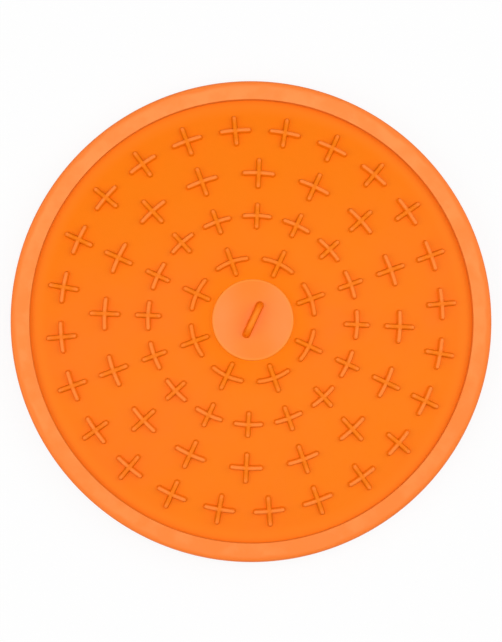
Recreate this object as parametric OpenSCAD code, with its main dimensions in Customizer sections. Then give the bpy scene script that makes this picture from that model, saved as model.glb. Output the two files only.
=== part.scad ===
// Round lick mat with rings of raised crosses and a twist-locked suction cup.
// Origin: on the axis of the mat, in the plane that the suction cup's lip stands on. The fin lies along Y.

/* [Mat] */
// Outer diameter of the mat over its rim
mat_d = 180; // [140:1:240]
// Thickness of the floor of the mat
floor_t = 2.4; // [1.6:0.1:3]
// How far the flat seat of the hub reaches past the knob's disc
seat_margin = 1.8; // [0.5:0.1:3]
// Thickness of the floor round the centre hole
hub_t = 3.2; // [3:0.1:3.6]

/* [Rim] */
// Width of the rim, seen from above
rim_w = 6.8; // [5.5:0.1:10]
// Height of the rim from its underside to its crown
rim_h = 6.4; // [6:0.1:9]
// How far the rim's crown stands above the floor beside it
rim_rise = 2.5; // [1.5:0.1:3]
// Height of the rim's underside above the surface that the cup stands on
rim_lift = 3.8; // [2:0.1:6]
// Radius of the rim's rounded outer shoulder
shoulder_r = 2.2; // [1:0.1:2.5]
// Radius along the rim's inner edge
inner_edge_r = 0.7; // [0.3:0.1:1]
// How far the floor's tongue reaches into the rim
tongue_l = 3; // [1.5:0.1:3.5]
// Thickness of the floor's tongue inside the rim
tongue_t = 1.2; // [0.8:0.1:1.4]

/* [Crosses] */
// Gap between the knob's disc and the first ring of crosses
cross_to_knob = 1.65; // [0.8:0.05:4]
// Gap between the outer ring of crosses and the rim
cross_to_rim = 5.5; // [2:0.1:10]
// Least distance from one ring of crosses to the next
ring_pitch = 16; // [13.5:0.1:24]
// Least distance from cross to cross along a ring
cross_pitch = 15; // [14.5:0.1:30]
// The number of crosses in each ring is a multiple of this
spokes = 8; // [4:1:9]
// Width of a cross's arm where it leaves the floor
arm_w = 2.7; // [2:0.1:3.2]
// Height of the arms that run round the mat
arc_arm_h = 2; // [1.4:0.1:3]
// Height of the arms that run outwards
spoke_arm_h = 1.7; // [1.2:0.1:3]

/* [Knob] */
// Diameter of the knob's disc
knob_d = 30.4; // [28:0.1:31]
// Thickness of the disc at its edge
knob_edge_t = 1.1; // [0.8:0.1:2]
// How far the disc's crown rises above its edge
knob_crown = 1.3; // [0.6:0.1:3]
// Length of the grip fin where it leaves the disc
fin_l = 15; // [10:0.5:20]
// Height of the grip fin above the disc
fin_h = 5.2; // [3:0.1:7]
// Thickness of the fin at its root
fin_t = 3.4; // [2.6:0.1:4]
// Thickness of the fin at its rounded edge
fin_edge_t = 1.9; // [1:0.1:2.4]
// Radius of the knob's stem
stem_r = 5; // [4:0.1:5.2]
// Reach of the lugs from the stem's axis
lug_reach = 7.3; // [6.6:0.1:7.6]
// Width of a lug
lug_w = 4; // [2.5:0.1:5]
// Height of a lug
lug_h = 2; // [1.5:0.1:2.2]

/* [Suction cup] */
// Diameter of the cup over its lip
cup_d = 72; // [60:1:90]
// Depth of the hollow under the cup
cup_hollow = 6; // [4:0.1:6.2]
// Thickness of the floor of the socket, over the hollow
socket_floor_t = 1.4; // [1:0.1:3]
// Thickness of the cup's wall beside the boss
cup_root_t = 2.6; // [1.8:0.1:3]
// Thickness of the cup's lip
lip_t = 0.9; // [0.6:0.1:1.5]
// Width of the flat ring that the lip stands on
lip_w = 1.6; // [0.8:0.1:3]
// Diameter of the boss that holds the knob's lugs
boss_d = 24; // [20:0.5:27]
// Thickness of the ledge that the lugs lock under
ledge_t = 1.8; // [1.4:0.1:2]

/* [Clearances] */
// Gap all round the stem and over the lugs
turn_gap = 0.1; // [0.05:0.01:0.2]
// Gap between the mat and the flat faces that clamp it
seat_gap = 0.1; // [0.05:0.01:0.3]

/* [Hidden] */
$fn = 96;
// Facets of the wide spherical faces, whose centres lie far off
wide_fn = 900;
// Overrun of a cut past the face that it opens
cut = 1;
// How deep the root of a cross or of the fin reaches below its surface
root_depth = 0.8;

// Rounding of an arm from its root to its top: share of the half width, share of the height
crown_shares = [[1, 0], [0.72, 0.55], [0.5, 0.88], [0.22, 1]];
// Length of the arms round the mat and outwards, from the first ring to the outer ring
ring_arms = [[14.3, 12.3], [12.2, 10.8], [13.5, 12.6], [13, 12.6]];

mat_r = mat_d / 2;
floor_r = mat_r - rim_w;
knob_r = knob_d / 2;
boss_r = boss_d / 2;
cup_r = cup_d / 2;
bore_r = stem_r + turn_gap;
socket_r = lug_reach + turn_gap;

// Height of the centre of a circle on the axis that passes through two points of a half section
function centre_z(r1, z1, r2, z2) = (r1 * r1 - r2 * r2 + z1 * z1 - z2 * z2) / (2 * (z1 - z2));

// The stack on the axis, from the hollow up: socket floor, lugs, ledge, hub and knob
socket_bottom = cup_hollow + socket_floor_t;
stem_bottom = socket_bottom + turn_gap;
lug_top = stem_bottom + lug_h;
ledge_bottom = lug_top + turn_gap;
boss_top = ledge_bottom + ledge_t;
hub_bottom = boss_top + seat_gap;
hub_top = hub_bottom + hub_t;
knob_bottom = hub_top + seat_gap;
knob_edge_z = knob_bottom + knob_edge_t;
knob_top = knob_edge_z + knob_crown;
crown_z = centre_z(0, knob_top, knob_r, knob_edge_z);

rim_top = rim_lift + rim_h;
floor_edge_z = rim_top - rim_rise;
hub_r = knob_r + seat_margin;
dome_z = centre_z(hub_r, hub_top, floor_r, floor_edge_z);
dome_r = sqrt(floor_r * floor_r + pow(floor_edge_z - dome_z, 2));
tongue_z = floor_edge_z - (floor_t + tongue_t) / 2;

fin_r = (fin_l * fin_l / 4 + fin_h * fin_h) / (2 * fin_h);

hollow_edge_r = cup_r - lip_w;
hollow_z = centre_z(0, cup_hollow, hollow_edge_r, 0);
hollow_r = cup_hollow - hollow_z;
skin_root_z = hollow_z + sqrt(hollow_r * hollow_r - boss_r * boss_r) + cup_root_t;
skin_z = centre_z(boss_r, skin_root_z, cup_r, lip_t);
skin_r = sqrt(cup_r * cup_r + pow(lip_t - skin_z, 2));

first_ring_r = knob_r + cross_to_knob + ring_arms[0][1] / 2;
outer_ring_r = floor_r - cross_to_rim - ring_arms[len(ring_arms) - 1][1] / 2;
ring_gaps = max(1, floor((outer_ring_r - first_ring_r) / ring_pitch));
function ring_r(i) = first_ring_r + i * (outer_ring_r - first_ring_r) / ring_gaps;
function ring_count(i) = spokes * max(1, floor(2 * PI * ring_r(i) / (spokes * cross_pitch)));
function arms_of_ring(i) = ring_arms[min(i, len(ring_arms) - 1)];

// Height and slope of the domed floor at a distance from the axis
function floor_z(r) = dome_z + sqrt(dome_r * dome_r - r * r);
function floor_slope(r) = asin(r / dome_r);

// One side of an arm's rounded outline, from its root to the middle of its top
function arm_side(half, h) = [for (s = crown_shares) [half - arm_w / 2 * (1 - s[0]), s[1] * h]];

// Outline of an arm that is 2 * half wide at the floor, with its root below the floor
module arm_outline(half, h) {
    right = arm_side(half, h);
    left = [for (i = [len(right) - 1 : -1 : 0]) [-right[i][0], right[i][1]]];
    polygon(concat([[half, -root_depth]], right, left, [[-half, -root_depth]]));
}

// Carries a shape from the origin to the floor at a distance from the axis, square to the floor
module on_floor(r) {
    translate([r, 0, floor_z(r)]) rotate([0, floor_slope(r), 0]) children();
}

// Slab as wide as two arms that rounds the two ends of an arm along X
module arm_ends(l, h) {
    translate([0, arm_w, 0]) rotate([90, 0, 0]) linear_extrude(2 * arm_w) arm_outline(l / 2, h);
}

// One cross on the domed floor: an arm along the circle and an arm outwards
module floor_cross(r, arms) {
    arc_angle = (arms[0] + arm_w) / r * 180 / PI;
    intersection() {
        rotate([0, 0, -arc_angle / 2])
            rotate_extrude(angle = arc_angle, $fn = 360)
                translate([r, floor_z(r)]) rotate(-floor_slope(r)) arm_outline(arm_w / 2, arc_arm_h);
        on_floor(r) rotate([0, 0, 90]) arm_ends(arms[0], arc_arm_h);
    }
    on_floor(r) intersection() {
        translate([-arms[1] / 2 - arm_w, 0, 0])
            rotate([90, 0, 90]) linear_extrude(arms[1] + 2 * arm_w) arm_outline(arm_w / 2, spoke_arm_h);
        arm_ends(arms[1], spoke_arm_h);
    }
}

// A ring of crosses with one of them on the +Y axis
module cross_ring(i) {
    for (k = [0 : ring_count(i) - 1])
        rotate([0, 0, 90 + k * 360 / ring_count(i)]) floor_cross(ring_r(i), arms_of_ring(i));
}

// Half section of the floor, from the centre hole to the end of the tongue
module floor_profile() {
    difference() {
        intersection() {
            translate([0, dome_z]) circle(dome_r, $fn = wide_fn);
            translate([bore_r, 0]) square([floor_r - bore_r, hub_top]);
        }
        difference() {
            translate([0, dome_z - floor_t]) circle(dome_r, $fn = wide_fn);
            translate([0, hub_bottom]) square([hub_r, hub_t]);
        }
    }
    translate([floor_r - cut, tongue_z]) square([tongue_l + cut, tongue_t]);
}

// The soft moulding: domed floor, hub, tongue and crosses
module mat() {
    color([1, 0.48, 0.1]) union() {
        rotate_extrude() floor_profile();
        for (i = [0 : ring_gaps]) cross_ring(i);
    }
}

// Half section of the rim before the tongue's groove is cut
module rim_profile() {
    translate([mat_r - shoulder_r, rim_top - shoulder_r]) circle(shoulder_r);
    translate([mat_r - shoulder_r, rim_lift + shoulder_r]) circle(shoulder_r);
    translate([floor_r + inner_edge_r, rim_top - inner_edge_r]) circle(inner_edge_r);
    translate([floor_r + inner_edge_r, rim_lift + inner_edge_r]) circle(inner_edge_r);
    translate([floor_r, rim_lift + inner_edge_r])
        square([rim_w - shoulder_r, rim_h - inner_edge_r - inner_edge_r]);
    translate([floor_r + inner_edge_r, rim_lift])
        square([rim_w - inner_edge_r - shoulder_r, rim_h]);
    translate([floor_r + shoulder_r, rim_lift + shoulder_r])
        square([rim_w - shoulder_r, rim_h - 2 * shoulder_r]);
}

// The firm band moulded round the tongue of the floor
module rim() {
    color([1, 0.6, 0.3]) rotate_extrude($fn = 180) difference() {
        rim_profile();
        translate([floor_r - cut, tongue_z]) square([tongue_l + cut, tongue_t]);
    }
}

// Grip fin along Y: drafted sides, an arched top and rounded ends, with its root in the disc
module fin() {
    edge_r = fin_edge_t / 2;
    shoulder_h = fin_h - edge_r;
    root_z = knob_top - root_depth;
    run = fin_l / 2 - fin_t / 2;
    intersection() {
        translate([0, fin_l, knob_top]) rotate([90, 0, 0]) linear_extrude(2 * fin_l) {
            polygon([
                [-fin_t / 2, -root_depth],
                [fin_t / 2, -root_depth],
                [fin_t / 2, 0],
                [edge_r, shoulder_h],
                [-edge_r, shoulder_h],
                [-fin_t / 2, 0]
            ]);
            translate([0, shoulder_h]) circle(edge_r, $fn = 48);
        }
        translate([-fin_t, 0, knob_top + fin_h - fin_r])
            rotate([0, 90, 0]) cylinder(r = fin_r, h = 2 * fin_t);
        translate([0, 0, root_z]) linear_extrude(root_depth + fin_h + cut) {
            translate([-fin_t / 2, -run]) square([fin_t, 2 * run]);
            for (side = [-1, 1]) translate([0, side * run]) circle(fin_t / 2, $fn = 48);
        }
    }
}

// Half section of the knob's disc: flat below, rounded at its edge, crowned above
module disc_profile() {
    edge_r = knob_edge_t / 2;
    intersection() {
        union() {
            translate([0, knob_bottom]) square([knob_r - edge_r, knob_edge_t + knob_crown]);
            translate([knob_r - edge_r, knob_bottom + edge_r]) circle(edge_r);
        }
        translate([0, crown_z]) circle(knob_top - crown_z, $fn = wide_fn);
        square([knob_r, knob_top]);
    }
}

// The disc with its grip fin above, and the stem with two bayonet lugs below
module knob() {
    color([1, 0.6, 0.3]) {
        rotate_extrude() disc_profile();
        fin();
        translate([0, 0, stem_bottom]) cylinder(r = stem_r, h = knob_bottom - stem_bottom);
        intersection() {
            translate([-lug_reach, -lug_w / 2, stem_bottom]) cube([2 * lug_reach, lug_w, lug_h]);
            translate([0, 0, stem_bottom]) cylinder(r = lug_reach, h = lug_h);
        }
    }
}

// Half section of the cup, without the socket: a skin between two wide spheres, a lip and a boss
module cup_profile() {
    difference() {
        union() {
            intersection() {
                translate([0, skin_z]) circle(skin_r, $fn = wide_fn);
                square([cup_r, boss_top]);
            }
            square([boss_r, boss_top]);
        }
        intersection() {
            translate([0, hollow_z]) circle(hollow_r, $fn = wide_fn);
            square([hollow_edge_r, cup_hollow]);
        }
    }
}

// Socket that lets the lugs in through the keyhole and round to the stops
module lug_socket() {
    stop_y = lug_w / 2 + turn_gap;
    translate([0, 0, socket_bottom]) cylinder(r = bore_r, h = boss_top - socket_bottom + cut);
    intersection() {
        translate([-stop_y, -socket_r, ledge_bottom - cut])
            cube([2 * stop_y, 2 * socket_r, ledge_t + 2 * cut]);
        translate([0, 0, ledge_bottom - cut]) cylinder(r = socket_r, h = ledge_t + 2 * cut);
    }
    difference() {
        translate([0, 0, socket_bottom]) cylinder(r = socket_r, h = ledge_bottom - socket_bottom);
        for (side = [0, 180])
            rotate([0, 0, side]) translate([-socket_r - stop_y, stop_y, socket_bottom - cut])
                cube([socket_r, socket_r, ledge_bottom - socket_bottom + 2 * cut]);
    }
}

// The suction cup with its boss and keyhole socket
module suction_cup() {
    color([1, 0.5, 0.14]) difference() {
        rotate_extrude() cup_profile();
        lug_socket();
    }
}

mat();
rim();
knob();
suction_cup();
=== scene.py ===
import bpy
import math
from mathutils import Matrix, Vector


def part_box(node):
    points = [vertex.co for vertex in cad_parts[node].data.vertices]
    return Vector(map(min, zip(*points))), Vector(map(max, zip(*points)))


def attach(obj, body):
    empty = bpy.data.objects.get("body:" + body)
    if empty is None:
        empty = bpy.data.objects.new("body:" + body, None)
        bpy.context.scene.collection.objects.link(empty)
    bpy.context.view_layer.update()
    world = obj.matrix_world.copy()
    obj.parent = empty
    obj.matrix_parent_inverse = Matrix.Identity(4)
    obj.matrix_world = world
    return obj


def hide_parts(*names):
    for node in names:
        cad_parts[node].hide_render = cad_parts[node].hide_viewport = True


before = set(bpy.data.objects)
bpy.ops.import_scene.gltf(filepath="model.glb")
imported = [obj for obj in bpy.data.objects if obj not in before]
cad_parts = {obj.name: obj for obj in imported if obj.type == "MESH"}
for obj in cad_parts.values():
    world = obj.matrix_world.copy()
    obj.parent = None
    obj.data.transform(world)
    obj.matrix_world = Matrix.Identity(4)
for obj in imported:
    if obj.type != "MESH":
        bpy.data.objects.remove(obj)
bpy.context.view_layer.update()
print("frame loaded:", ", ".join(sorted(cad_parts)))

mm = 0.001
imageWidth, imageHeight = 502, 642

# Heights and radii that several pieces share, measured on the frame
rimLow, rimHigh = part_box("rim")
knobLow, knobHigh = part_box("knob")
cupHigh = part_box("suction_cup")[1]
outerR = rimHigh.x
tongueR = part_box("mat")[1].x
discR = knobHigh.x
cupR = cupHigh.x
rimTop = rimHigh.z

finLength = 14.6 * mm  # which the fin and its paint share

# How near a point counts as lying on a line, and the share of a width that counts as inside it
tolerance = 0.01 * mm
insideShare = 0.999

# The floor of the mat, which the crosses, the rim and the knob are set on
floorShape = {
    "edgeR": 83.2 * mm,  # where the floor meets the rim
    "edgeZ": 7.7 * mm,  # height of the floor there
    "seatR": 17 * mm,  # flat seat under the knob's disc
    "seatZ": 14.7 * mm,
    "thickness": 2.4 * mm,
    "hubThickness": 3.2 * mm,
    "boreR": 5.1 * mm,
    "tongueThickness": 1.2 * mm,
    "tongueEase": 0.02 * mm,  # the tongue's air in the rim's groove
    "hubInset": 0.5 * mm,  # how far the hub's lower edge lies inside the edge of the seat
    "edgeRound": 0.25 * mm,
    "edgeSteps": 4,
    "rows": 34,  # profile steps from the seat to the rim
    "steps": 288,
}

rise = floorShape["seatZ"] - floorShape["edgeZ"]
domeZ = (
    floorShape["seatR"] ** 2 - floorShape["edgeR"] ** 2
    + floorShape["seatZ"] ** 2 - floorShape["edgeZ"] ** 2
) / (2 * rise)
domeR = math.hypot(floorShape["seatR"], floorShape["seatZ"] - domeZ)


def floorZ(r):
    return min(floorShape["seatZ"], domeZ + math.sqrt(domeR ** 2 - r * r))


def floorSlope(r):
    return math.asin(r / domeR)


# Camera, looking straight down but for a slight lean, and turned as the photograph is
camera = {
    "distance": 1.0,  # metres from the rim's crown
    "turn": 24.9,  # degrees that the picture is turned round the mat's axis
    "lean": 3.6,  # degrees off the upright
    "leanRight": -0.73,  # the camera is moved towards the picture's lower left
    "leanUp": -0.68,
    "matPixels": 482.3,  # width of the mat in the picture
    "aimRight": 1.2,  # pixels from the picture's middle to the middle of the mat
    "aimUp": 0.5,
    "sensor": 36.0,
    "clipStart": 0.01,
    "clipEnd": 50,
}


def addCamera():
    turn = math.radians(camera["turn"])
    right = Vector((math.cos(turn), math.sin(turn), 0))
    up = Vector((-math.sin(turn), math.cos(turn), 0))
    lean = math.radians(camera["lean"])
    aside = (right * camera["leanRight"] + up * camera["leanUp"]).normalized()
    away = aside * math.sin(lean) + Vector((0, 0, math.cos(lean)))
    pixel = 2 * outerR / camera["matPixels"]
    target = Vector((0, 0, rimTop)) - (right * camera["aimRight"] + up * camera["aimUp"]) * pixel
    side = up.cross(away).normalized()
    upright = away.cross(side).normalized()
    bpy.ops.object.camera_add()
    eye = bpy.context.object
    eye.name = "photoCamera"
    turned = Matrix((side, upright, away)).transposed().to_4x4()
    eye.matrix_world = Matrix.Translation(target + away * camera["distance"]) @ turned
    eye.data.sensor_width = camera["sensor"]
    focalPixels = camera["distance"] / pixel
    eye.data.lens = focalPixels / max(imageWidth, imageHeight) * camera["sensor"]
    eye.data.clip_start = camera["clipStart"]
    eye.data.clip_end = camera["clipEnd"]
    bpy.context.scene.camera = eye
    return right, up


pictureRight, pictureUp = addCamera()
print("camera set")

# Soft studio light: a pale room and three large lamps
lights = {
    "room": 0.42,  # strength of the room's own light
    "sideWatts": 3.6,
    "topWatts": 5.1,
    "sideSize": 1.0,
    "topSize": 0.9,
    "sideTurn": 14.0,  # degrees that the pair of side lamps is turned from the picture's level
    "sideReach": 0.75,  # how far the side lamps stand from the axis
    "sideHeight": 0.75,
    "topHeight": 1.35,
    "floorSize": 6.0,
    "floorColour": (0.9, 0.9, 0.9, 1),
    "floorShadow": 0.12,  # share of the real shadow that the camera sees on the floor
    "seenWhite": 1,  # strength of the white that the camera sees
}


def addLamp(name, place, size, watts):
    bpy.ops.object.light_add(type="AREA", location=place)
    lamp = bpy.context.object
    lamp.name = name
    lamp.data.shape = "DISK"
    lamp.data.size = size
    lamp.data.energy = watts
    lamp.rotation_mode = "QUATERNION"
    lamp.rotation_quaternion = (-Vector(place)).to_track_quat("-Z", "Y")


def addLightPath(tree):
    # One for what the camera sees, straight or in a reflection, nought for the rest
    path = tree.nodes.new("ShaderNodeLightPath")
    either = tree.nodes.new("ShaderNodeMath")
    either.operation = "MAXIMUM"
    tree.links.new(path.outputs["Is Camera Ray"], either.inputs[0])
    tree.links.new(path.outputs["Is Glossy Ray"], either.inputs[1])
    seen = tree.nodes.new("ShaderNodeMath")
    seen.operation = "MAXIMUM"
    tree.links.new(either.outputs[0], seen.inputs[0])
    tree.links.new(path.outputs["Is Transmission Ray"], seen.inputs[1])
    return seen.outputs[0]


def addRoom():
    world = bpy.data.worlds.new("paleRoom")
    world.use_nodes = True
    tree = world.node_tree
    tree.nodes.clear()
    output = tree.nodes.new("ShaderNodeOutputWorld")
    mix = tree.nodes.new("ShaderNodeMixShader")
    ambient = tree.nodes.new("ShaderNodeBackground")
    ambient.inputs["Strength"].default_value = lights["room"]
    white = tree.nodes.new("ShaderNodeBackground")
    white.inputs["Strength"].default_value = lights["seenWhite"]
    for background in (ambient, white):
        background.inputs["Color"].default_value = (1, 1, 1, 1)
    tree.links.new(addLightPath(tree), mix.inputs[0])
    tree.links.new(ambient.outputs[0], mix.inputs[1])
    tree.links.new(white.outputs[0], mix.inputs[2])
    tree.links.new(mix.outputs[0], output.inputs["Surface"])
    bpy.context.scene.world = world


def addStudioFloor():
    bpy.ops.mesh.primitive_plane_add(size=lights["floorSize"], location=(0, 0, 0))
    floor = bpy.context.object
    floor.name = "studioFloor"
    paint = bpy.data.materials.new("whitePaint")
    paint.use_nodes = True
    tree = paint.node_tree
    tree.nodes.clear()
    output = tree.nodes.new("ShaderNodeOutputMaterial")
    mix = tree.nodes.new("ShaderNodeMixShader")
    diffuse = tree.nodes.new("ShaderNodeBsdfDiffuse")
    diffuse.inputs["Color"].default_value = lights["floorColour"]
    glow = tree.nodes.new("ShaderNodeEmission")
    glow.inputs["Strength"].default_value = lights["seenWhite"]
    share = tree.nodes.new("ShaderNodeMath")
    share.operation = "MULTIPLY"
    share.inputs[1].default_value = 1 - lights["floorShadow"]
    tree.links.new(addLightPath(tree), share.inputs[0])
    tree.links.new(share.outputs[0], mix.inputs[0])
    tree.links.new(diffuse.outputs[0], mix.inputs[1])
    tree.links.new(glow.outputs[0], mix.inputs[2])
    tree.links.new(mix.outputs[0], output.inputs["Surface"])
    floor.data.materials.append(paint)


sideTurn = math.radians(lights["sideTurn"])
sideways = (pictureRight * math.cos(sideTurn) + pictureUp * math.sin(sideTurn)) * lights["sideReach"]
for name, side in (("leftLamp", -1), ("rightLamp", 1)):
    place = (side * sideways.x, side * sideways.y, lights["sideHeight"])
    addLamp(name, place, lights["sideSize"], lights["sideWatts"])
addLamp("topLamp", (0, 0, lights["topHeight"]), lights["topSize"], lights["topWatts"])
addRoom()
addStudioFloor()
bpy.context.scene.view_settings.view_transform = "Standard"
print("lights and studio floor set")


# Small helpers for modelling

modelling = {
    "mergeGap": 0.001 * mm,  # points nearer than this are joined
    "toolSides": 64,  # of the round blocks that are added or cut away
    "sharpAngle": 35,  # degrees between faces above which an edge stays sharp
    "softSharpAngle": 60,  # the same on the crosses and the fin
}


def startClean():
    if bpy.context.object and bpy.context.object.mode != "OBJECT":
        bpy.ops.object.mode_set(mode="OBJECT")
    bpy.ops.object.select_all(action="DESELECT")


def pick(piece, test, kind):
    # Selects the vertices that pass the test, or the edges whose ends do, and stays in edit mode
    mesh = piece.data
    bpy.ops.object.mode_set(mode="EDIT")
    bpy.ops.mesh.select_mode(type=kind)
    bpy.ops.mesh.select_all(action="DESELECT")
    bpy.ops.object.mode_set(mode="OBJECT")
    places = [v.co for v in mesh.vertices]
    if kind == "VERT":
        for vertex in mesh.vertices:
            vertex.select = test(vertex.co)
    else:
        for edge in mesh.edges:
            edge.select = all(test(places[i]) for i in edge.vertices)
    bpy.ops.object.mode_set(mode="EDIT")


def closeUp():
    # Merges doubles in the active piece, turns its faces outwards and leaves edit mode
    bpy.ops.object.mode_set(mode="EDIT")
    bpy.ops.mesh.select_mode(type="VERT")
    bpy.ops.mesh.select_all(action="SELECT")
    bpy.ops.mesh.remove_doubles(threshold=modelling["mergeGap"])
    bpy.ops.mesh.normals_make_consistent(inside=False)
    bpy.ops.object.mode_set(mode="OBJECT")


def smooth(piece, degrees=modelling["sharpAngle"]):
    startClean()
    piece.select_set(True)
    bpy.context.view_layer.objects.active = piece
    bpy.ops.object.shade_smooth_by_angle(angle=math.radians(degrees))


def arcPoints(middle, radius, start, end, count):
    # Points of an arc in the half section, with angles in degrees from outwards towards up
    points = []
    for i in range(count + 1):
        angle = math.radians(start + (end - start) * i / count)
        points.append((middle[0] + radius * math.cos(angle), middle[1] + radius * math.sin(angle)))
    return points


def lathe(name, outline, steps):
    # Draws a half section as a chain of edges and spins it round the axis
    # A chain that starts and ends on the axis closes by itself
    onAxis = outline[0][0] == 0 and outline[-1][0] == 0
    following = outline[1:] if onAxis else outline[1:] + outline[:1]
    startClean()
    bpy.ops.mesh.primitive_plane_add(size=mm, location=(0, 0, 0))
    piece = bpy.context.object
    piece.name = name
    bpy.ops.object.mode_set(mode="EDIT")
    bpy.ops.mesh.select_mode(type="VERT")
    bpy.ops.mesh.select_all(action="SELECT")
    bpy.ops.mesh.merge(type="CENTER")
    bpy.ops.transform.translate(value=(outline[0][0], 0, outline[0][1]))
    for here, there in zip(outline, following):
        step = (there[0] - here[0], 0, there[1] - here[1])
        bpy.ops.mesh.extrude_region_move(TRANSFORM_OT_translate={"value": step})
    bpy.ops.mesh.select_all(action="SELECT")
    bpy.ops.mesh.spin(steps=steps, angle=2 * math.pi, center=(0, 0, 0), axis=(0, 0, 1))
    closeUp()
    return piece


def roundBlock(radius, bottom, top, name):
    startClean()
    bpy.ops.mesh.primitive_cylinder_add(
        vertices=modelling["toolSides"], radius=radius, depth=top - bottom,
        location=(0, 0, (top + bottom) / 2))
    block = bpy.context.object
    block.name = name
    bpy.ops.object.transform_apply(location=True, rotation=False, scale=False)
    return block


def cutFlat(block, place, normal):
    # Takes away what lies beyond a plane and closes the cut
    bpy.ops.object.mode_set(mode="EDIT")
    bpy.ops.mesh.select_all(action="SELECT")
    bpy.ops.mesh.bisect(plane_co=place, plane_no=normal, use_fill=True, clear_outer=True)
    bpy.ops.object.mode_set(mode="OBJECT")


def combine(piece, tool, operation):
    # Adds or cuts with another mesh, which is then deleted
    startClean()
    piece.select_set(True)
    bpy.context.view_layer.objects.active = piece
    bpy.ops.object.modifier_add(type="BOOLEAN")
    modifier = piece.modifiers[-1]
    modifier.operation = operation
    modifier.solver = "EXACT"
    modifier.object = tool
    bpy.ops.object.modifier_apply(modifier=modifier.name)
    startClean()
    tool.select_set(True)
    bpy.ops.object.delete()


def setTone(piece, name, value):
    # Writes one number to every vertex, which the material reads by the name
    attribute = piece.data.attributes.new(name, "FLOAT", "POINT")
    for i, vertex in enumerate(piece.data.vertices):
        attribute.data[i].value = value(vertex.co)


# Small helpers for materials

noises = {
    "roughness": 0.55,
    "plain": 2.0,  # detail of slow or fine grain
    "mottled": 3.0,
    "ragged": 4.0,
    "sum": (0.7, 1.3),  # reach of two noises added together
}


def newMaterial(name):
    material = bpy.data.materials.new(name)
    material.use_nodes = True
    tree = material.node_tree
    tree.nodes.clear()
    output = tree.nodes.new("ShaderNodeOutputMaterial")
    shader = tree.nodes.new("ShaderNodeBsdfPrincipled")
    tree.links.new(shader.outputs["BSDF"], output.inputs["Surface"])
    return material, tree, shader


def objectPlace(tree, flat=False):
    # Object coordinates, with the height left out where flat is asked for
    coordinates = tree.nodes.new("ShaderNodeTexCoord")
    mapping = tree.nodes.new("ShaderNodeMapping")
    if flat:
        mapping.inputs["Scale"].default_value = (1, 1, 0)
    tree.links.new(coordinates.outputs["Object"], mapping.inputs["Vector"])
    return mapping.outputs["Vector"]


def noiseField(tree, place, size, detail):
    noise = tree.nodes.new("ShaderNodeTexNoise")
    noise.inputs["Scale"].default_value = 1 / size
    noise.inputs["Detail"].default_value = detail
    noise.inputs["Roughness"].default_value = noises["roughness"]
    tree.links.new(place, noise.inputs["Vector"])
    return noise.outputs["Fac"]


def readTone(tree, name):
    tone = tree.nodes.new("ShaderNodeAttribute")
    tone.attribute_name = name
    return tone.outputs["Fac"]


def axisDistance(tree):
    length = tree.nodes.new("ShaderNodeVectorMath")
    length.operation = "LENGTH"
    tree.links.new(objectPlace(tree, flat=True), length.inputs[0])
    return length.outputs["Value"]


def distanceAlong(tree, direction):
    # How far a point lies from the axis in one level direction
    dot = tree.nodes.new("ShaderNodeVectorMath")
    dot.operation = "DOT_PRODUCT"
    dot.inputs[1].default_value = direction
    tree.links.new(objectPlace(tree, flat=True), dot.inputs[0])
    return dot.outputs["Value"]


def levelDirection(degrees):
    # A level direction, by its angle in the photograph from right towards up
    angle = math.radians(degrees)
    return pictureRight * math.cos(angle) + pictureUp * math.sin(angle)


def ramp(tree, value, fromMin, fromMax, toMin, toMax, kind="SMOOTHSTEP"):
    mapRange = tree.nodes.new("ShaderNodeMapRange")
    mapRange.interpolation_type = kind
    mapRange.inputs["From Min"].default_value = fromMin
    mapRange.inputs["From Max"].default_value = fromMax
    mapRange.inputs["To Min"].default_value = toMin
    mapRange.inputs["To Max"].default_value = toMax
    tree.links.new(value, mapRange.inputs["Value"])
    return mapRange.outputs["Result"]


def calculate(tree, operation, first, second):
    step = tree.nodes.new("ShaderNodeMath")
    step.operation = operation
    for socket, value in zip(step.inputs, (first, second)):
        if isinstance(value, float):
            socket.default_value = value
        else:
            tree.links.new(value, socket)
    return step.outputs[0]


def mixColour(tree, share, first, second):
    mix = tree.nodes.new("ShaderNodeMix")
    mix.data_type = "RGBA"
    for socket, value in ((mix.inputs[0], share), (mix.inputs[6], first), (mix.inputs[7], second)):
        if isinstance(value, (float, tuple)):
            socket.default_value = value
        else:
            tree.links.new(value, socket)
    return mix.outputs[2]


def surfaceGrain(tree, shader, finish):
    # Fine moulded grain over a slow unevenness, and roughness that varies with both
    place = objectPlace(tree)
    fine = noiseField(tree, place, finish["grainSize"], noises["plain"])
    slow = noiseField(tree, place, finish["waveSize"], noises["plain"])
    fineBump = tree.nodes.new("ShaderNodeBump")
    fineBump.inputs["Strength"].default_value = finish["grainStrength"]
    fineBump.inputs["Distance"].default_value = finish["grainDepth"]
    slowBump = tree.nodes.new("ShaderNodeBump")
    slowBump.inputs["Strength"].default_value = finish["waveStrength"]
    slowBump.inputs["Distance"].default_value = finish["waveDepth"]
    tree.links.new(slow, slowBump.inputs["Height"])
    tree.links.new(fine, fineBump.inputs["Height"])
    tree.links.new(slowBump.outputs["Normal"], fineBump.inputs["Normal"])
    tree.links.new(fineBump.outputs["Normal"], shader.inputs["Normal"])
    low, high = finish["roughness"]
    both = calculate(tree, "ADD", fine, slow)
    tree.links.new(ramp(tree, both, *noises["sum"], low, high, "LINEAR"), shader.inputs["Roughness"])
    shader.inputs["Specular IOR Level"].default_value = finish["specular"]


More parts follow.
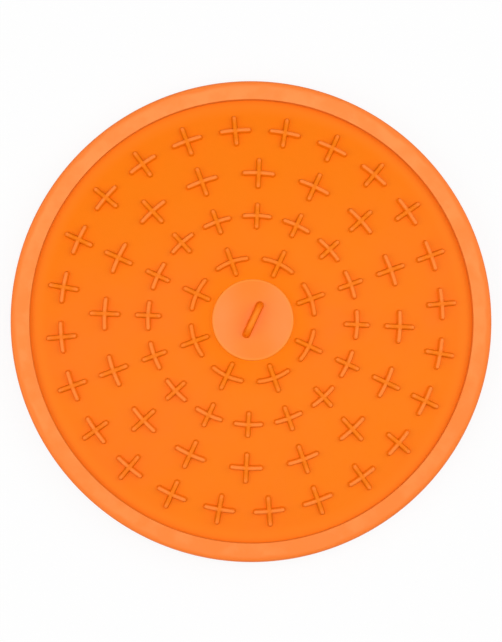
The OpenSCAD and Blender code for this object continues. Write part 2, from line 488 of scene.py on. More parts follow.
# Colour of the floor's rubber, which the crosses share: mottled, with painted shade round the knob, and
# painted richer on one side as less sheen there
floorColour = {
    "base": (0.945, 0.196, 0.0085, 1),
    "warm": (0.95, 0.190, 0.0110, 1),  # slow patches that lean to red
    "light": (0.945, 0.202, 0.0070, 1),  # slow patches that lean to yellow
    "richAndPaintedShade": (0.93, 0.196, 0.0004, 1),  # painted shade round the knob, where the light is trapped; also the random speckle and the side with less painted sheen
    "knobShadeFrom": 16.0 * mm,
    "knobShadeTo": 30.0 * mm,
    "knobShadeShare": 0.85,
    "lessSheenTowards": 105.0,  # the side of the floor painted a little richer, as less sheen there
    "lessSheenTo": 55.0 * mm,
    "sheenSideShare": 0.7,
    "patchSize": 42.0 * mm,
    "warmNoise": (0.35, 0.5),  # where the noise turns from warm to the base
    "lightNoise": (0.5, 0.68),  # where it turns from the base to light
    "speckleSize": 3.0 * mm,
    "speckleNoise": (0.4, 0.62),
    "speckleShare": 0.12,
}


def floorColourField(tree):
    place = objectPlace(tree)
    patches = noiseField(tree, place, floorColour["patchSize"], noises["plain"])
    speckle = noiseField(tree, place, floorColour["speckleSize"], noises["ragged"])
    warmShare = ramp(tree, patches, *floorColour["warmNoise"], 1.0, 0.0)
    lightShare = ramp(tree, patches, *floorColour["lightNoise"], 0.0, 1.0)
    colour = mixColour(tree, warmShare, floorColour["base"], floorColour["warm"])
    colour = mixColour(tree, lightShare, colour, floorColour["light"])
    speckled = ramp(tree, speckle, *floorColour["speckleNoise"], 0.0, floorColour["speckleShare"])
    colour = mixColour(tree, speckled, colour, floorColour["richAndPaintedShade"])
    # painted a little richer towards one side, as less sheen there
    sideways = distanceAlong(tree, levelDirection(floorColour["lessSheenTowards"]))
    sheenSideShare = ramp(tree, sideways, 0.0, floorColour["lessSheenTo"], 0.0, floorColour["sheenSideShare"])
    colour = mixColour(tree, sheenSideShare, colour, floorColour["richAndPaintedShade"])
    distance = axisDistance(tree)
    # painted shade round the knob, where the light is trapped
    knobShadeShare = ramp(tree, distance, floorColour["knobShadeFrom"], floorColour["knobShadeTo"],
                     floorColour["knobShadeShare"], 0.0)
    return mixColour(tree, knobShadeShare, colour, floorColour["richAndPaintedShade"]), distance


floorFinish = {
    "grainSize": 0.45 * mm,
    "grainStrength": 0.25,
    "grainDepth": 0.04 * mm,
    "waveSize": 9.0 * mm,
    "waveStrength": 0.35,
    "waveDepth": 0.25 * mm,
    "roughness": (0.42, 0.58),
    "specular": 0.06,
    "paintedCreaseShade": (0.80, 0.200, 0.012, 1),  # painted shade: the thin dark line at the foot of the rim
    "creaseFrom": 82.25 * mm,
    "creaseTo": 82.95 * mm,
    "creaseShare": 0.75,
    "paintedMarginLight": (0.96, 0.222, 0.013, 1),  # painted light: paler where the floor nears the rim, against the rim's shade
    "marginFrom": 76.0 * mm,
    "marginTo": 81.5 * mm,
    "marginShare": 0.8,
    "seat": (0.98, 0.248, 0.0010, 1),  # painted light round the edge of the knob's disc, against its shade
    "seatFrom": 16.1 * mm,
    "seatTo": 15.3 * mm,
}


def makeFloorRubber():
    material, tree, shader = newMaterial("floorRubber")
    colour, distance = floorColourField(tree)
    # painted light where the floor nears the rim
    paintedMarginLight = ramp(tree, distance, floorFinish["marginFrom"], floorFinish["marginTo"],
                  0.0, floorFinish["marginShare"])
    colour = mixColour(tree, paintedMarginLight, colour, floorFinish["paintedMarginLight"])
    # painted shade in the crease at the foot of the rim
    paintedCreaseShade = ramp(tree, distance, floorFinish["creaseFrom"], floorFinish["creaseTo"],
                  0.0, floorFinish["creaseShare"])
    colour = mixColour(tree, paintedCreaseShade, colour, floorFinish["paintedCreaseShade"])
    # painted light round the edge of the knob's disc
    seat = ramp(tree, distance, floorFinish["seatFrom"], floorFinish["seatTo"], 0.0, 1.0)
    colour = mixColour(tree, seat, colour, floorFinish["seat"])
    tree.links.new(colour, shader.inputs["Base Color"])
    surfaceGrain(tree, shader, floorFinish)
    return material


crossFinish = {
    "paintedShade": (0.75, 0.176, 0.0002, 1),  # painted shade on the flanks and in the crease at the foot
    "paintedHighlight": (0.985, 0.246, 0.042, 1),  # painted highlight on the crowns
    "paleFrom": 12.0 * mm,  # from the axis: the inner crosses get less of the painted highlight
    "paleTo": 50.0 * mm,
    "innerPaleShare": 0.45,
    "darkShare": 0.92,
    "crownDarkShare": 0.14,  # painted shade on a crown without the painted highlight
    "shadeBelowHighlightShare": 0.45,  # painted shade on the flanks below a highlighted crown
    "paleShare": 0.9,
    # shares of the climb from the foot to the crown over which the tones change
    "footClimb": (0.0, 0.06),
    "sharpClimb": (0.65, 0.99),
    "softClimb": (0.5, 0.93),
    "crownClimb": (0.8, 0.98),
}


def makeCrossRubber():
    # As the floor, darker on the flanks with painted shade and paler on the crowns with a painted
    # highlight
    material, tree, shader = newMaterial("crossRubber")
    colour, distance = floorColourField(tree)
    climb = readTone(tree, "climb")
    crownHighlight = readTone(tree, "crownHighlight")
    # painted shade on the flanks and in the crease at the foot
    into = ramp(tree, climb, *crossFinish["footClimb"], 0.0, crossFinish["darkShare"])
    sharp = ramp(tree, climb, *crossFinish["sharpClimb"], 1.0, crossFinish["crownDarkShare"])
    soft = ramp(tree, climb, *crossFinish["softClimb"], crossFinish["shadeBelowHighlightShare"], 0.0)
    softer = calculate(tree, "MULTIPLY", calculate(tree, "SUBTRACT", soft, sharp), crownHighlight)
    outOf = calculate(tree, "ADD", sharp, softer)
    colour = mixColour(tree, calculate(tree, "MULTIPLY", into, outOf), colour, crossFinish["paintedShade"])
    # painted highlight on the crowns
    crown = ramp(tree, climb, *crossFinish["crownClimb"], 0.0, crossFinish["paleShare"])
    outer = ramp(tree, distance, crossFinish["paleFrom"], crossFinish["paleTo"],
                 crossFinish["innerPaleShare"], 1.0)
    paintedHighlight = calculate(tree, "MULTIPLY", calculate(tree, "MULTIPLY", crown, outer), crownHighlight)
    colour = mixColour(tree, paintedHighlight, colour, crossFinish["paintedHighlight"])
    tree.links.new(colour, shader.inputs["Base Color"])
    surfaceGrain(tree, shader, floorFinish)
    return material


rimFinish = {
    "base": (0.95, 0.233, 0.036, 1),
    "hazeAndPaintedSheen": (0.96, 0.282, 0.061, 1),  # paler patches at random, and a painted sheen that is stronger towards one side
    "sheenTowards": 103.0,  # the side of the rim that has more painted sheen
    "edge": (0.97, 0.200, 0.02, 1),  # the rounded shoulder, painted richer as shade where it turns from the light
    "wall": (0.80, 0.195, 0.014, 1),  # painted shade on the inner wall
    "outer": (0.90, 0.185, 0.018, 1),  # painted shade on the outer wall, below the shoulder
    "sheenShares": (0.15, 0.85),  # from the side with the least of it to the side with the most
    "patchSize": 12.0 * mm,
    "patchNoise": (0.40, 0.64),
    "patchShare": 0.4,  # how far the patches change the haze, up or down
    "shoulderFrom": 87.5 * mm,
    "shoulderTo": 88.9 * mm,
    "shoulderShare": 0.8,
    "shoulderWobble": 4.0 * mm,
    "wallFrom": 83.1 * mm,
    "wallTo": 82.98 * mm,
    "outerFrom": 89.4 * mm,
    "outerTo": 89.9 * mm,
    "outerShare": 0.8,
    "grainSize": 0.5 * mm,
    "grainStrength": 0.3,
    "grainDepth": 0.05 * mm,
    "waveSize": 7.0 * mm,
    "waveStrength": 0.4,
    "waveDepth": 0.2 * mm,
    "roughness": (0.58, 0.75),
    "specular": 0.25,
}


def makeRimRubber():
    material, tree, shader = newMaterial("rimRubber")
    place = objectPlace(tree)
    patches = noiseField(tree, place, rimFinish["patchSize"], noises["ragged"])
    patchShare = rimFinish["patchShare"]
    speckled = ramp(tree, patches, *rimFinish["patchNoise"], -patchShare, patchShare)
    # painted sheen that grows towards one side of the rim
    sideways = distanceAlong(tree, levelDirection(rimFinish["sheenTowards"]))
    sheenSideShare = ramp(tree, sideways, -outerR, outerR, *rimFinish["sheenShares"], "LINEAR")
    hazeAndSheenShare = calculate(tree, "ADD", speckled, sheenSideShare)
    colour = mixColour(tree, hazeAndSheenShare, rimFinish["base"], rimFinish["hazeAndPaintedSheen"])
    distance = axisDistance(tree)
    # painted shade on the rounded shoulder, with a ragged inner edge
    wobble = calculate(tree, "MULTIPLY", calculate(tree, "SUBTRACT", patches, 0.5),
                       rimFinish["shoulderWobble"])
    ragged = calculate(tree, "ADD", distance, wobble)
    shoulder = ramp(tree, ragged, rimFinish["shoulderFrom"], rimFinish["shoulderTo"],
                    0.0, rimFinish["shoulderShare"])
    # painted shade on the inner wall
    wall = ramp(tree, distance, rimFinish["wallFrom"], rimFinish["wallTo"], 0.0, 1.0)
    # painted shade on the outer wall
    outer = ramp(tree, distance, rimFinish["outerFrom"], rimFinish["outerTo"],
                 0.0, rimFinish["outerShare"])
    colour = mixColour(tree, shoulder, colour, rimFinish["edge"])
    colour = mixColour(tree, wall, colour, rimFinish["wall"])
    colour = mixColour(tree, outer, colour, rimFinish["outer"])
    tree.links.new(colour, shader.inputs["Base Color"])
    surfaceGrain(tree, shader, rimFinish)
    return material


knobFinish = {
    "base": (0.96, 0.206, 0.0035, 1),
    "hazeAndPaintedSheen": (0.96, 0.244, 0.034, 1),  # painted sheen on both sides of the fin, where the side lamps fall
    "sheenTowards": 3.0,
    "sheenFrom": 1.5 * mm,
    "sheenTo": 12.5 * mm,
    "foot": (1.0, 0.212, 0.009, 1),  # painted shade on the disc beside the fin, where its shadow falls
    "edge": (1.0, 0.268, 0.020, 1),  # painted highlight: the thin pale line at the disc's edge
    "paintedFlankShade": (0.90, 0.168, 0.0003, 1),  # painted shade on the sides of the fin
    "crown": (0.98, 0.232, 0.013, 1),  # the rounded edge of the fin
    "paintedFinEndShade": (0.98, 0.200, 0.001, 1),  # painted shade where that edge falls to the disc
    "sheenShares": (0.1, 0.9),
    "patchSize": 14.0 * mm,
    "patchNoise": (0.4, 0.65),
    "patchShare": 0.1,  # how far the patches change the haze, up or down
    "endFrom": 0.22,  # share of the fin's length, from its middle, where the painted shade on its edge starts
    "endTo": 0.5,
    "flankClimb": (0.6, 0.95),  # shares of the climb between flank and edge
    "footFrom": 2.5 * mm,
    "footTo": 9.5 * mm,
    "footShare": 0.8,
    "footStretch": (1.6, 1.15, 0),  # narrower across the fin than along it
    "edgeFrom": 14.0 * mm,
    "edgeTo": 15.0 * mm,
    "edgeShare": 0.9,
    "grainSize": 0.4 * mm,
    "grainStrength": 0.15,
    "grainDepth": 0.03 * mm,
    "waveSize": 8.0 * mm,
    "waveStrength": 0.25,
    "waveDepth": 0.15 * mm,
    "roughness": (0.42, 0.52),
    "specular": 0.35,
    "finSpecular": 0.1,
}


def makeKnobPlastic(name, isFin):
    material, tree, shader = newMaterial(name)
    place = objectPlace(tree)
    patches = noiseField(tree, place, knobFinish["patchSize"], noises["mottled"])
    # painted sheen on both sides of the fin
    sideways = distanceAlong(tree, levelDirection(knobFinish["sheenTowards"]))
    sideways = calculate(tree, "ABSOLUTE", sideways, 0.0)
    sheenSideShare = ramp(tree, sideways, knobFinish["sheenFrom"], knobFinish["sheenTo"],
                     *knobFinish["sheenShares"])
    patchShare = knobFinish["patchShare"]
    patchy = ramp(tree, patches, *knobFinish["patchNoise"], -patchShare, patchShare)
    hazeAndSheenShare = calculate(tree, "ADD", sheenSideShare, patchy)
    colour = mixColour(tree, hazeAndSheenShare, knobFinish["base"], knobFinish["hazeAndPaintedSheen"])
    if isFin:
        # painted shade towards the fin's ends
        apart = tree.nodes.new("ShaderNodeSeparateXYZ")
        tree.links.new(place, apart.inputs["Vector"])
        along = calculate(tree, "ABSOLUTE", apart.outputs["Y"], 0.0)
        toEnd = ramp(tree, along, finLength * knobFinish["endFrom"], finLength * knobFinish["endTo"],
                     0.0, 1.0)
        colour = mixColour(tree, toEnd, knobFinish["crown"], knobFinish["paintedFinEndShade"])
        # painted shade on the fin's flanks
        onFlank = ramp(tree, readTone(tree, "climb"), *knobFinish["flankClimb"], 1.0, 0.0)
        colour = mixColour(tree, onFlank, colour, knobFinish["paintedFlankShade"])
    else:
        # painted shade on the disc beside the fin
        stretched = tree.nodes.new("ShaderNodeMapping")
        stretched.inputs["Scale"].default_value = knobFinish["footStretch"]
        tree.links.new(place, stretched.inputs["Vector"])
        length = tree.nodes.new("ShaderNodeVectorMath")
        length.operation = "LENGTH"
        tree.links.new(stretched.outputs["Vector"], length.inputs[0])
        foot = ramp(tree, length.outputs["Value"], knobFinish["footFrom"], knobFinish["footTo"],
                    knobFinish["footShare"], 0.0)
        colour = mixColour(tree, foot, colour, knobFinish["foot"])
        # painted highlight along the disc's edge
        edge = ramp(tree, axisDistance(tree), knobFinish["edgeFrom"], knobFinish["edgeTo"],
                    0.0, knobFinish["edgeShare"])
        colour = mixColour(tree, edge, colour, knobFinish["edge"])
    tree.links.new(colour, shader.inputs["Base Color"])
    surfaceGrain(tree, shader, knobFinish)
    if isFin:
        shader.inputs["Specular IOR Level"].default_value = knobFinish["finSpecular"]
    return material


cupFinish = {
    "base": (0.95, 0.2, 0.02, 1),
    "light": (0.98, 0.24, 0.035, 1),
    "patchSize": 18.0 * mm,
    "patchNoise": (0.38, 0.66),
    "grainSize": 0.35 * mm,
    "grainStrength": 0.12,
    "grainDepth": 0.02 * mm,
    "waveSize": 10.0 * mm,
    "waveStrength": 0.2,
    "waveDepth": 0.15 * mm,
    "roughness": (0.3, 0.42),
    "specular": 0.35,
}


def makeCupRubber():
    material, tree, shader = newMaterial("cupRubber")
    patches = noiseField(tree, objectPlace(tree), cupFinish["patchSize"], noises["mottled"])
    lightShare = ramp(tree, patches, *cupFinish["patchNoise"], 0.0, 1.0)
    colour = mixColour(tree, lightShare, cupFinish["base"], cupFinish["light"])
    tree.links.new(colour, shader.inputs["Base Color"])
    surfaceGrain(tree, shader, cupFinish)
    return material


floorRubber = makeFloorRubber()
crossRubber = makeCrossRubber()
rimRubber = makeRimRubber()
knobPlastic = makeKnobPlastic("knobPlastic", False)
finPlastic = makeKnobPlastic("finPlastic", True)
cupRubber = makeCupRubber()
print("materials made")


def dress(piece, material, body):
    piece.data.materials.clear()
    piece.data.materials.append(material)
    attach(piece, body)


# Mat floor: a domed sheet with a thicker hub, a centre hole and the tongue that the rim grips

def makeMatFloor():
    shape = floorShape
    hubBottom = shape["seatZ"] - shape["hubThickness"]
    tongueMiddle = shape["edgeZ"] - shape["thickness"] / 2
    tongueHalf = shape["tongueThickness"] / 2 - shape["tongueEase"]
    radii = [shape["seatR"] + (shape["edgeR"] - shape["seatR"]) * i / shape["rows"]
             for i in range(shape["rows"] + 1)]
    edge = shape["edgeRound"]
    steps = shape["edgeSteps"]
    outline = arcPoints((shape["boreR"] + edge, shape["seatZ"] - edge), edge, 180, 90, steps)
    outline += [(r, floorZ(r)) for r in radii]
    outline += [
        (shape["edgeR"], tongueMiddle + tongueHalf),
        (tongueR, tongueMiddle + tongueHalf),
        (tongueR, tongueMiddle - tongueHalf),
        (shape["edgeR"], tongueMiddle - tongueHalf),
    ]
    outline += [(r, floorZ(r) - shape["thickness"]) for r in reversed(radii)]
    outline += arcPoints((shape["seatR"] - shape["hubInset"], hubBottom + edge), edge, 0, -90, steps)
    outline += arcPoints((shape["boreR"] + edge, hubBottom + edge), edge, 270, 180, steps)
    floor = lathe("matFloor", outline, shape["steps"])
    smooth(floor)
    dress(floor, floorRubber, "mat")
    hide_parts("mat")
    print("mat floor made:", len(floor.data.polygons), "faces")


makeMatFloor()

# Crosses: an arm along the circle over a lower arm outwards, with a soft fillet at the foot
crosses = {
    "armWidth": 1.95 * mm,
    "spokeHeight": 1.7 * mm,
    "arcHeight": 2.0 * mm,
    "fillet": 0.32 * mm,  # how far the foot spreads beyond the arm
    "sink": 0.12 * mm,  # how deep the foot lies in the floor
    "armSteps": 3,
    "endSteps": 4,
    "nearCrossing": 0.5 * mm,  # first step of an arm, where it rises to the crossing
    # from the foot to the crown: share of the width inwards, share of the height
    "climbShares": [(0.0, 0.0), (0.08, 0.02), (0.16, 0.08), (0.30, 0.42), (0.43, 0.78),
                    (0.56, 0.92), (0.72, 0.985), (0.84, 1.0)],
    # how much painted highlight the crown gets, from nought to one, at the crossing and at the tips of the
    # arm outwards
    "highlightAtCrossing": 0.15,
    "highlightAtTip": 0.75,
    "highlightPower": 3,  # how late along the arm the painted highlight sets in
    # radius, number, arm along the circle, arm outwards
    "rings": [
        (22.9 * mm, 8, 14.0 * mm, 12.1 * mm),
        (38.8 * mm, 16, 12.0 * mm, 10.7 * mm),
        (54.9 * mm, 16, 13.3 * mm, 12.4 * mm),
        (71.15 * mm, 24, 12.8 * mm, 12.4 * mm),
    ],
}


def roundTip(piece, direction, endSteps):
    # Draws the selected end of an arm out into a half circle
    bpy.ops.object.mode_set(mode="OBJECT")
    ends = [v.co.copy() for v in piece.data.vertices if v.select]
    middle = (ends[0] + ends[1]) / 2
    half = (ends[0] - ends[1]).length / 2
    bpy.ops.object.mode_set(mode="EDIT")
    quarter = math.pi / 2
    for i in range(endSteps):
        start = quarter * i / endSteps
        end = quarter * (i + 1) / endSteps
        step = direction * half * (math.sin(end) - math.sin(start))
        middle = middle + step
        narrower = math.cos(end) / math.cos(start)
        bpy.ops.mesh.extrude_region_move(TRANSFORM_OT_translate={"value": step})
        bpy.ops.transform.resize(value=(narrower, narrower, 1), center_override=middle)


def climbUp(shares, half, height):
    # Raises the selected plan from its foot to its crown
    for low, high in zip(shares, shares[1:]):
        bpy.ops.mesh.inset(
            thickness=(high[0] - low[0]) * half,
            depth=(high[1] - low[1]) * height,
            use_boundary=True,
            use_even_offset=True,
        )


def faceUp(piece):
    # Selects the whole flat plan with its faces turned up, and stays in edit mode
    bpy.ops.object.mode_set(mode="EDIT")
    bpy.ops.mesh.select_mode(type="FACE")
    bpy.ops.mesh.select_all(action="SELECT")
    bpy.ops.mesh.normals_make_consistent(inside=False)
    bpy.ops.object.mode_set(mode="OBJECT")
    facesDown = piece.data.polygons[0].normal.z < 0
    bpy.ops.object.mode_set(mode="EDIT")
    if facesDown:
        bpy.ops.mesh.flip_normals()


def makeCross(r, arcLength, spokeLength):
    half = crosses["armWidth"] / 2 + crosses["fillet"]
    startClean()
    bpy.ops.mesh.primitive_plane_add(size=2 * half, location=(r, 0, 0))
    cross = bpy.context.object
    bpy.ops.object.transform_apply(location=True, rotation=False, scale=False)
    reach = half + tolerance
    for sign in (-1, 1):
        # arm outwards or inwards, a short step and then even ones
        pick(cross, lambda co: abs(co.x - (r + sign * half)) < tolerance and abs(co.y) < reach, "EDGE")
        run = spokeLength / 2 - 2 * half - crosses["nearCrossing"]
        steps = [crosses["nearCrossing"]] + [run / crosses["armSteps"]] * crosses["armSteps"]
        for step in steps:
            bpy.ops.mesh.extrude_region_move(TRANSFORM_OT_translate={"value": (sign * step, 0, 0)})
        roundTip(cross, Vector((sign, 0, 0)), crosses["endSteps"])
    for sign in (-1, 1):
        # arm round the mat's axis; a spin turns the other way for a positive angle
        pick(cross, lambda co: abs(co.y - sign * half) < tolerance and abs(co.x - r) < reach, "EDGE")
        run = arcLength / 2 - 2 * half - crosses["nearCrossing"]
        for length, steps in ((crosses["nearCrossing"], 1), (run, crosses["armSteps"])):
            bpy.ops.mesh.spin(steps=steps, angle=-sign * length / r, center=(0, 0, 0), axis=(0, 0, 1))
        turned = (crosses["nearCrossing"] + run) / r
        outwards = Vector((-math.sin(turned), sign * math.cos(turned), 0))
        roundTip(cross, outwards, crosses["endSteps"])
    closeUp()
    faceUp(cross)
    climbUp(crosses["climbShares"], half, crosses["spokeHeight"])
    bpy.ops.object.mode_set(mode="OBJECT")
    setTone(cross, "climb", lambda co: co.z / crosses["spokeHeight"])

    inside = half * insideShare

    def crownHighlight(co):
        # Painted highlight along the arm round the circle, but for the crossing, and at the tips of the
        # other
        aside = abs(math.hypot(co.x, co.y) - r)
        along = abs(math.atan2(co.y, co.x)) * r
        if aside < inside:
            return crosses["highlightAtCrossing"] if along < inside else 1
        tip = spokeLength / 2 - half
        toTip = min(1, max(0, (aside - half) / (tip - half)))
        return crosses["highlightAtTip"] * toTip ** crosses["highlightPower"]

    setTone(cross, "crownHighlight", crownHighlight)
    # the arm along the circle stands higher, over the crossing too
    pick(cross, lambda co: abs(math.hypot(co.x, co.y) - r) < inside, "VERT")
    lift = crosses["arcHeight"] / crosses["spokeHeight"]
    bpy.ops.transform.resize(value=(1, 1, lift), center_override=(0, 0, 0))
    bpy.ops.object.mode_set(mode="OBJECT")
    return cross


def placeRing(index, ring):
    r, count, arcLength, spokeLength = ring
    cross = makeCross(r, arcLength, spokeLength)
    smooth(cross, modelling["softSharpAngle"])
    # tilted square to the floor and let down on it
    bpy.ops.object.mode_set(mode="EDIT")
    bpy.ops.mesh.select_all(action="SELECT")
    slope = floorSlope(r)
    bpy.ops.transform.rotate(value=-slope, orient_axis="Y", center_override=(r, 0, 0))
    bpy.ops.transform.translate(value=(0, 0, floorZ(r) - crosses["sink"]))
    bpy.ops.transform.rotate(value=-math.pi / 2, orient_axis="Z", center_override=(0, 0, 0))
    bpy.ops.object.mode_set(mode="OBJECT")
    copies = [cross]
    for k in range(1, count):
        startClean()
        cross.select_set(True)
        bpy.context.view_layer.objects.active = cross
        bpy.ops.object.duplicate(linked=False)
        copy = bpy.context.object
        bpy.ops.object.mode_set(mode="EDIT")
        bpy.ops.mesh.select_all(action="SELECT")
        bpy.ops.transform.rotate(value=2 * math.pi * k / count, orient_axis="Z", center_override=(0, 0, 0))
        bpy.ops.object.mode_set(mode="OBJECT")
        copies.append(copy)
    startClean()
    for copy in copies:
        copy.select_set(True)
    bpy.context.view_layer.objects.active = cross
    bpy.ops.object.join()
    cross.name = "crossRing%d" % (index + 1)
    dress(cross, crossRubber, "mat")
    print("ring", index + 1, "of crosses made:", count, "crosses,", len(cross.data.polygons), "faces")


for index, ring in enumerate(crosses["rings"]):
    placeRing(index, ring)

# Rim: a band with a rounded outer shoulder, gripping the floor's tongue
rim = {
    "innerLap": 0.3 * mm,  # how far the crown laps over the edge of the floor
    "innerRound": 0.35 * mm,
    "shoulderRound": 1.8 * mm,
    "shoulderDrop": 0.15 * mm,  # fall of the crown towards the shoulder
    "shoulderStart": 84,  # degrees above level where the shoulder's arc starts
    "shoulderSteps": 12,
    "underRound": 1.2 * mm,
    "arcSteps": 8,
    "steps": 288,
}


def makeRim():
    inner = floorShape["edgeR"]
    lap = inner - rim["innerLap"]
    bottom = rimLow.z
    grooveTop = floorShape["edgeZ"] - (floorShape["thickness"] - floorShape["tongueThickness"]) / 2
    grooveBottom = grooveTop - floorShape["tongueThickness"]
    steps = rim["arcSteps"]
    soft = rim["innerRound"]
    shoulder = rim["shoulderRound"]
    shoulderZ = rimTop - rim["shoulderDrop"] - shoulder
    under = rim["underRound"]
    outline = [
        (tongueR, grooveBottom),
        (tongueR, grooveTop),
        (inner, grooveTop),
        (inner, floorShape["edgeZ"] - rim["innerLap"]),
        (lap, floorShape["edgeZ"] - rim["innerLap"]),
    ]
    outline += arcPoints((lap + soft, rimTop - soft), soft, 180, 90, steps)
    crown = (inner + outerR) / 2
    outline += [(crown, rimTop)]
    outline += arcPoints((outerR - shoulder, shoulderZ), shoulder, rim["shoulderStart"], 0,
                         rim["shoulderSteps"])
    outline += arcPoints((outerR - under, bottom + under), under, 0, -90, steps)
    outline += arcPoints((inner + soft, bottom + soft), soft, 270, 180, steps)
    outline += [(inner, grooveBottom)]
    band = lathe("rimBand", outline, rim["steps"])
    smooth(band)
    dress(band, rimRubber, "mat")
    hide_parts("rim")
    print("rim made:", len(band.data.polygons), "faces")


makeRim()

# Knob: crowned disc on a stem with two bayonet lugs
knob = {
    "discBottom": 14.8 * mm,
    "edge": 1.1 * mm,
    "edgeRound": 0.5 * mm,
    "edgeStart": 72,  # degrees above level where the crown passes into the rounded edge
    "edgeSteps": 5,
    "crown": 1.3 * mm,
    "stemR": 5.0 * mm,
    "lugReach": 7.3 * mm,
    "lugWidth": 4.0 * mm,
    "lugHeight": 2.0 * mm,
    "crownSteps": 14,
    "steps": 160,
}
discTop = knob["discBottom"] + knob["edge"] + knob["crown"]


def discHeight(r):
    # Height of the crowned disc at a distance from the axis
    bend = (discR ** 2 + knob["crown"] ** 2) / (2 * knob["crown"])
    return discTop - bend + math.sqrt(bend ** 2 - r * r)


def makeKnobDisc():
    stemBottom = knobLow.z
    edge = knob["edgeRound"]
    steps = knob["edgeSteps"]
    flat = discR - edge
    outline = [(0, stemBottom), (knob["stemR"], stemBottom), (knob["stemR"], knob["discBottom"])]
    outline += arcPoints((flat, knob["discBottom"] + edge), edge, -90, 0, steps)
    outline += arcPoints((flat, discHeight(flat) - edge), edge, 0, knob["edgeStart"], steps)
    radii = [flat * (1 - i / knob["crownSteps"]) for i in range(knob["crownSteps"])]
    outline += [(r, discHeight(r)) for r in radii]
    outline += [(0, discTop)]
    disc = lathe("knobDisc", outline, knob["steps"])
    lugs = roundBlock(knob["lugReach"], stemBottom, stemBottom + knob["lugHeight"], "lugs")
    for side in (-1, 1):
        cutFlat(lugs, (0, side * knob["lugWidth"] / 2, 0), (0, side, 0))
    combine(disc, lugs, "UNION")
    smooth(disc)
    dress(disc, knobPlastic, "knob")
    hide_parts("knob")
    print("knob disc made:", len(disc.data.polygons), "faces")


makeKnobDisc()

# Grip fin: a bar with round ends, drafted sides and an arched top, flared where it leaves the disc
fin = {
    "thickness": 3.0 * mm,
    "flare": 0.14 * mm,
    "arch": 3.0 * mm,  # how far the top falls towards the ends
    "armSteps": 12,
    "endSteps": 8,
    "sink": 0.25 * mm,
    # from the foot to the edge: share of the half thickness inwards, share of the height
    "climbShares": [(0.0, 0.0), (0.05, 0.02), (0.11, 0.07), (0.19, 0.30), (0.27, 0.60),
                    (0.36, 0.82), (0.48, 0.93), (0.65, 0.985), (0.84, 1.0)],
}


def makeFin():
    half = fin["thickness"] / 2 + fin["flare"]
    run = finLength / 2 - fin["thickness"] / 2
    foot = discTop - fin["sink"]
    height = knobHigh.z - foot
    startClean()
    bpy.ops.mesh.primitive_plane_add(size=2 * half, location=(0, 0, foot))
    bar = bpy.context.object
    bar.name = "knobFin"
    bpy.ops.object.transform_apply(location=True, rotation=False, scale=False)
    step = (run - half) / fin["armSteps"]
    for side in (-1, 1):
        pick(bar, lambda co: abs(co.y - side * half) < tolerance, "EDGE")
        for i in range(fin["armSteps"]):
            bpy.ops.mesh.extrude_region_move(TRANSFORM_OT_translate={"value": (0, side * step, 0)})
        roundTip(bar, Vector((0, side, 0)), fin["endSteps"])
    closeUp()
    faceUp(bar)
    climbUp(fin["climbShares"], half, height)
    bpy.ops.object.mode_set(mode="OBJECT")
    # the top is arched: it falls towards both ends, and the foot stays on the disc
    reach = run + half
    for vertex in bar.data.vertices:
        share = (vertex.co.z - foot) / height
        vertex.co.z -= fin["arch"] * share * (vertex.co.y / reach) ** 2
    setTone(bar, "climb", lambda co: (co.z - foot) / height)
    smooth(bar, modelling["softSharpAngle"])
    dress(bar, finPlastic, "knob")
    print("fin made:", len(bar.data.polygons), "faces")


makeFin()

# Suction cup: a thin skin over a hollow, a flat lip and a boss with a keyhole socket for the lugs
cup = {
    "hollow": 6.0 * mm,
    "lipThickness": 0.9 * mm,
    "lipWidth": 1.6 * mm,
    "lipRound": 0.35 * mm,
    "lipStart": 70,  # degrees above level where the skin passes into the rounded lip
    "lipSteps": 4,
    "rootThickness": 2.6 * mm,  # of the skin beside the boss
    "bossR": 12.0 * mm,
    "bossRound": 0.4 * mm,
    "bossSteps": 5,
    "socketBottom": 7.4 * mm,
    "ledgeBottom": 9.6 * mm,
    "boreR": 5.1 * mm,
    "socketR": 7.4 * mm,
    "slotHalf": 2.1 * mm,
    "rows": 16,
    "steps": 192,
    "overrun": 1.0 * mm,
}


def sphereThrough(r1, z1, r2, z2):
    # Height of the middle, and radius, of a sphere on the axis through two points of the half section
    middle = (r1 * r1 - r2 * r2 + z1 * z1 - z2 * z2) / (2 * (z1 - z2))
    return middle, math.hypot(r1, z1 - middle)


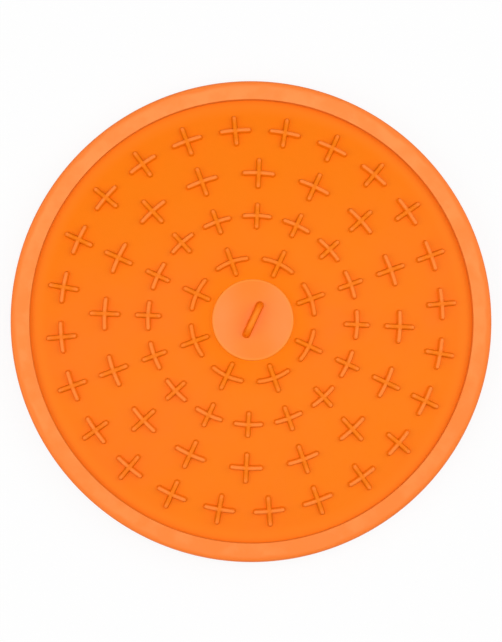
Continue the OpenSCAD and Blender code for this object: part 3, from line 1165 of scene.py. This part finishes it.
def makeSuctionCup():
    rows = cup["rows"]
    hollowR = cupR - cup["lipWidth"]
    hollowMiddle, hollowBend = sphereThrough(0, cup["hollow"], hollowR, 0)
    rootZ = hollowMiddle + math.sqrt(hollowBend ** 2 - cup["bossR"] ** 2) + cup["rootThickness"]
    skinMiddle, skinBend = sphereThrough(cup["bossR"], rootZ, cupR, cup["lipThickness"])
    top = cupHigh.z
    lip = cup["lipRound"]
    boss = cup["bossRound"]
    outline = [(0, top)]
    outline += arcPoints((cup["bossR"] - boss, top - boss), boss, 90, 0, cup["bossSteps"])
    for i in range(rows):
        r = cup["bossR"] + (cupR - lip - cup["bossR"]) * i / rows
        outline.append((r, skinMiddle + math.sqrt(skinBend ** 2 - r * r)))
    steps = cup["lipSteps"]
    outline += arcPoints((cupR - lip, cup["lipThickness"] - lip), lip, cup["lipStart"], 0, steps)
    outline += arcPoints((cupR - lip, lip), lip, 0, -90, steps)
    for i in range(rows):
        r = hollowR * (1 - i / rows)
        outline.append((r, hollowMiddle + math.sqrt(hollowBend ** 2 - r * r)))
    outline.append((0, cup["hollow"]))
    skin = lathe("suctionCup", outline, cup["steps"])
    over = top + cup["overrun"]
    combine(skin, roundBlock(cup["boreR"], cup["socketBottom"], over, "boreTool"), "DIFFERENCE")
    slot = roundBlock(cup["socketR"], cup["ledgeBottom"] - cup["overrun"], over, "slotTool")
    for side in (-1, 1):
        cutFlat(slot, (side * cup["slotHalf"], 0, 0), (side, 0, 0))
    combine(skin, slot, "DIFFERENCE")
    for side in (-1, 1):
        # the space that a lug turns through: a quarter open beyond the slot, up to its stop
        turn = roundBlock(cup["socketR"], cup["socketBottom"], cup["ledgeBottom"], "turnTool")
        cutFlat(turn, (0, 0, 0), (-side, 0, 0))
        cutFlat(turn, (0, -side * cup["slotHalf"], 0), (0, -side, 0))
        combine(skin, turn, "DIFFERENCE")
        back = roundBlock(cup["socketR"], cup["socketBottom"], cup["ledgeBottom"], "backTool")
        cutFlat(back, (side * cup["slotHalf"], 0, 0), (side, 0, 0))
        cutFlat(back, (0, 0, 0), (0, side, 0))
        combine(skin, back, "DIFFERENCE")
    smooth(skin)
    dress(skin, cupRubber, "cup")
    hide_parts("suction_cup")
    print("suction cup made:", len(skin.data.polygons), "faces")


makeSuctionCup()
